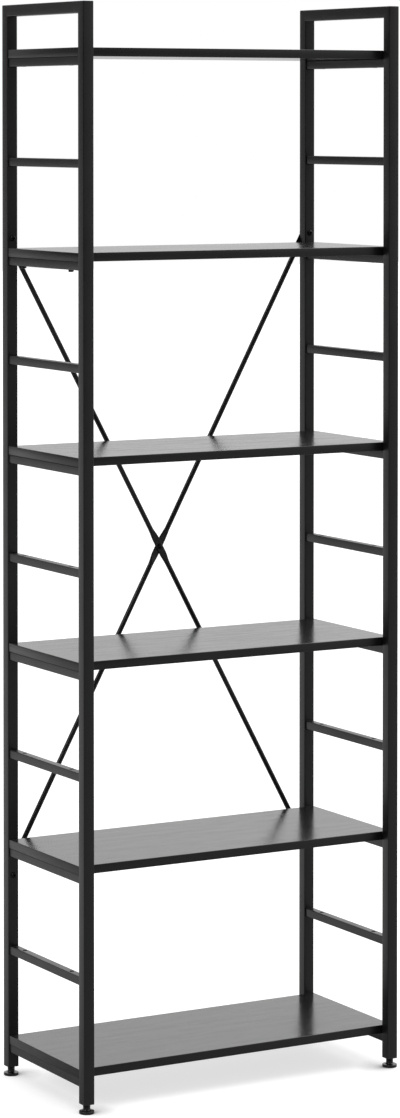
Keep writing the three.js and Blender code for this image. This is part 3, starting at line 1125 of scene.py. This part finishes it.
# Brace bolts and nuts. An M6 button-head bolt with a hexagon socket goes through each rear post and
# brace end from the front, and a flanged nut holds it behind. Black zinc on steel.
bolt_head_width = 10.4
bolt_head_height = 3.8
bolt_head_edge = 1.0
bolt_head_round = 2.6
hex_key_width = 4.0
hex_key_depth = 2.4
bolt_thread_width = 6.0
bolt_thread_depth = 0.5
bolt_thread_in_head = 0.4
bolt_pitch = 1.0
nut_width = 10.0
nut_foot = 0.2  # where the hexagon starts, inside the flange
nut_bevel = 0.2
nut_bevel_height = 1.6
nut_bore_width = 6.1
nut_flange_width = 12.8
nut_flange_edge = 0.6
nut_flange_height = 1.6
hexagon = 1 / math.cos(math.pi / 6)  # width over corners, of the width over flats

bolt_high = box_of("brace_bolt_lower_left")[1]
nut_low, nut_high = box_of("brace_nut_lower_left")
post_front_face = box_of("post_rear_left")[0].y
bolt_head = [
    (0, 0),
    (bolt_head_width / 2 - head_bevel, 0),
    (bolt_head_width / 2, head_bevel),
    (bolt_head_width / 2, bolt_head_edge),
    *arc(
        bolt_head_width / 2 - bolt_head_round,
        bolt_head_edge,
        bolt_head_round,
        bolt_head_height - bolt_head_edge,
        0,
        90,
    )[1:],
    (0, bolt_head_height),
]
bolts = new_piece("brace_bolts", turned(bolt_head))
key = round_bar(
    (0, 0, bolt_head_height - hex_key_depth),
    (0, 0, bolt_head_height + overcut),
    hex_key_width * hexagon,
    6,
)
carve(bolts, key)
bolts.data.transform(Matrix.Rotation(math.pi / 2, 4, "X"))
grow(
    bolts,
    thread_tree,
    Length=bolt_high.y - post_front_face + bolt_thread_in_head,
    Width=bolt_thread_width,
    Pitch=bolt_pitch,
    Thread_Depth=bolt_thread_depth,
    Start=(0.0, -bolt_thread_in_head, 0.0),
    Direction=(-math.pi / 2, 0.0, 0.0),
    Material=black_zinc,
)

nut_height = nut_high.y - nut_low.y
nut_corner = nut_width * hexagon
bevelled = [
    (0, -overcut),
    (nut_corner, -overcut),
    (nut_corner, nut_height - nut_bevel_height),
    (nut_width / 2 - nut_bevel, nut_height),
    (nut_width / 2 - nut_bevel, nut_height + overcut),
    (0, nut_height + overcut),
]
flange = [
    (0, 0),
    (nut_flange_width / 2 - head_bevel, 0),
    (nut_flange_width / 2, head_bevel),
    (nut_flange_width / 2, nut_flange_edge),
    (nut_width / 2, nut_flange_height),
    (0, nut_flange_height),
]
nuts = new_piece("brace_nuts", round_bar((0, 0, nut_foot), (0, 0, nut_height), nut_corner, 6))
carve(nuts, turned(bevelled), operation="INTERSECT")
carve(nuts, turned(flange), operation="UNION")
carve(nuts, round_bar((0, 0, -overcut), (0, 0, nut_height + overcut), nut_bore_width))
nuts.data.transform(Matrix.Rotation(-math.pi / 2, 4, "X"))

for kind, fittings, face, seed in (
    ("brace_bolt", bolts, post_front_face, 4),
    ("brace_nut", nuts, nut_low.y, 5),
):
    nodes = [f"{kind}_{level}_{side}" for level in ("lower", "upper") for side in sides]
    first = middle_of(nodes[0])
    grow(
        fittings,
        rows_tree,
        Columns=2,
        Rows=1,
        Levels=2,
        Spacing=(span_x, 0.0, span_z),
        First_Place=(first.x, face, first.z),
        Turn=(0.0, math.pi, 0.0),
        Seed=seed,
        Material=black_zinc,
    )
    finish_piece(fittings, "bookcase", "black_zinc_steel", *nodes)


# Rivet. One steel rivet holds the two brace tubes together where they cross, its head domed at the
# front and closed to a dome at the back.
rivet_width = 5.2
rivet_head_width = 10.0
rivet_head_height = 2.2

seat = brace_flat_thickness
half_head = rivet_head_width / 2
outline = [
    *arc(0, -seat, half_head, -rivet_head_height, 90, 0),
    (rivet_width / 2, -seat),
    (rivet_width / 2, seat),
    *arc(0, seat, half_head, rivet_head_height, 0, 90),
]
outline[0] = (0, outline[0][1])
outline[-1] = (0, outline[-1][1])
shape = turned(outline, axis="Y")
bmesh.ops.translate(shape, verts=shape.verts, vec=crossing)
rivet = new_piece("brace_rivet_set", shape)
finish_piece(rivet, "bookcase", "black_zinc_steel", "brace_rivet", materials=[black_zinc])


# Plugs. A moulded plastic plug closes each post's lower end: a flange under the tube and a square
# body that was pushed up into it, with a bore for the foot's stud.
plug_flange_height = 1.5
plug_body_width = 17.4
plug_body_corner = 0.8
plug_bore_width = 6.6
plug_bore_bevel = 0.5
plug_edge_round = 0.35
plug_lead_in = 1.0

# Polyamide from a spark-eroded mould: matt black with a fine even grit, drawn at 0.8 mm.
plug_plastic = grained_material(
    "moulded_matt_polyamide",
    patterns=((0.8, 2.0),),
    tones=("#151515", "#1d1d1d"),
    gloss=(0.50, 0.60),
    relief=(0.4, 0.00005),
    IOR=1.53,
)


def bore_loop(width, height, count):
    """A round loop with the same points as a rounded square's."""
    turns = [2 * math.pi * (i + 0.5) / count for i in range(count)]
    return [(width / 2 * math.cos(t), width / 2 * math.sin(t), height) for t in turns]


def square_loop(width, corner, height):
    return [(x, y, height) for x, y in rounded_square(width, corner)]


for side in sides:
    for end in ends:
        name = f"post_plug_{end}_{side}"
        low, high = box_of(name)
        height = high.z - low.z
        rounded_width = post_width - 2 * plug_edge_round
        count = len(rounded_square(post_width, post_corner))
        loops = [
            bore_loop(plug_bore_width, plug_bore_bevel, count),
            bore_loop(plug_bore_width + 2 * plug_bore_bevel, 0, count),
            square_loop(rounded_width, post_corner - plug_edge_round, 0),
            square_loop(post_width, post_corner, plug_edge_round),
            square_loop(post_width, post_corner, plug_flange_height),
            square_loop(plug_body_width, plug_body_corner, plug_flange_height),
            square_loop(plug_body_width, plug_body_corner, height - plug_lead_in),
            square_loop(plug_body_width - 2 * plug_lead_in, plug_body_corner, height),
            bore_loop(plug_bore_width, height, count),
        ]
        shape = bmesh.new()
        skin(shape, loops, closed=True)
        bmesh.ops.translate(shape, verts=shape.verts, vec=(*middle_of(name).xy, low.z))
        plug = new_piece(f"plug_{end}_{side}", shape)
        finish_piece(plug, "bookcase", "black_plug_plastic", name, materials=[plug_plastic])


# Feet. A glossy moulded plastic foot turns on the end of each M6 stud, and the stud screws into the
# post's plug to level the bookcase. Both show between post and floor.
foot_width = 26.0
foot_rim_round = 0.8
foot_rim_height = 4.2
foot_neck_width = 12.4
foot_neck_height = 8.5
foot_neck_edge = 0.5
stud_hole_width = 6.6
stud_hole_bevel = 0.3
stud_socket_depth = 11.0
sole_recess_width = 18.0
sole_recess_depth = 0.7
sole_recess_edge = 0.5
stud_width = 6.0
stud_thread_depth = 0.55
stud_pitch = 1.0

# Polypropylene from a polished mould: deep glossy black, its skin a little wavy where it shrank.
foot_plastic = grained_material(
    "moulded_glossy_polypropylene",
    patterns=((6.0, 1.0),),
    tones=("#121212", "#181818"),
    gloss=(0.18, 0.26),
    relief=(0.3, 0.0001),
    IOR=1.49,
)

for side in sides:
    for end in ends:
        name = f"foot_pad_{end}_{side}"
        low, high = box_of(name)
        centre = Vector((*middle_of(name).xy, low.z))
        foot_height = high.z - low.z
        disc = foot_width / 2 - foot_rim_round
        neck = foot_neck_width / 2
        flare_foot = foot_rim_height + foot_rim_round
        flare_top = foot_height - foot_neck_height
        outline = [
            (0, sole_recess_depth),
            (sole_recess_width / 2 - sole_recess_edge, sole_recess_depth),
            (sole_recess_width / 2, 0),
            *arc(disc, foot_rim_round, foot_rim_round, foot_rim_round, -90, 0, 4),
            *arc(disc, foot_rim_height, foot_rim_round, foot_rim_round, 0, 90, 4),
        ]
        for turn in (math.radians(angle) for angle in range(10, 91, 10)):
            outline.append(
                (
                    neck + (disc - neck) * (1 - math.sin(turn)),
                    flare_foot + (flare_top - flare_foot) * (1 - math.cos(turn)),
                )
            )
        outline += [
            (neck, foot_height - foot_neck_edge),
            (neck - 0.3 * foot_neck_edge, foot_height - 0.3 * foot_neck_edge),
            (neck - foot_neck_edge, foot_height),
            (stud_hole_width / 2 + stud_hole_bevel, foot_height),
            (stud_hole_width / 2, foot_height - stud_hole_bevel),
            (stud_hole_width / 2, foot_height - stud_socket_depth),
            (0, foot_height - stud_socket_depth),
        ]
        shape = turned(outline, 64)
        bmesh.ops.translate(shape, verts=shape.verts, vec=centre)
        foot = new_piece(f"pad_{end}_{side}_moulding", shape)
        body = f"pad_{end}_{side}"
        finish_piece(foot, body, "black_plastic", name, materials=[foot_plastic])

        name = f"foot_stud_{end}_{side}"
        low, high = box_of(name)
        stud = new_piece(f"stud_{end}_{side}_rod")
        grow(
            stud,
            thread_tree,
            Length=high.z - low.z,
            Width=stud_width,
            Pitch=stud_pitch,
            Thread_Depth=stud_thread_depth,
            Start=(*centre.xy, low.z),
            Material=black_zinc,
        )
        finish_piece(stud, f"stud_{end}_{side}", "black_zinc_steel", name)
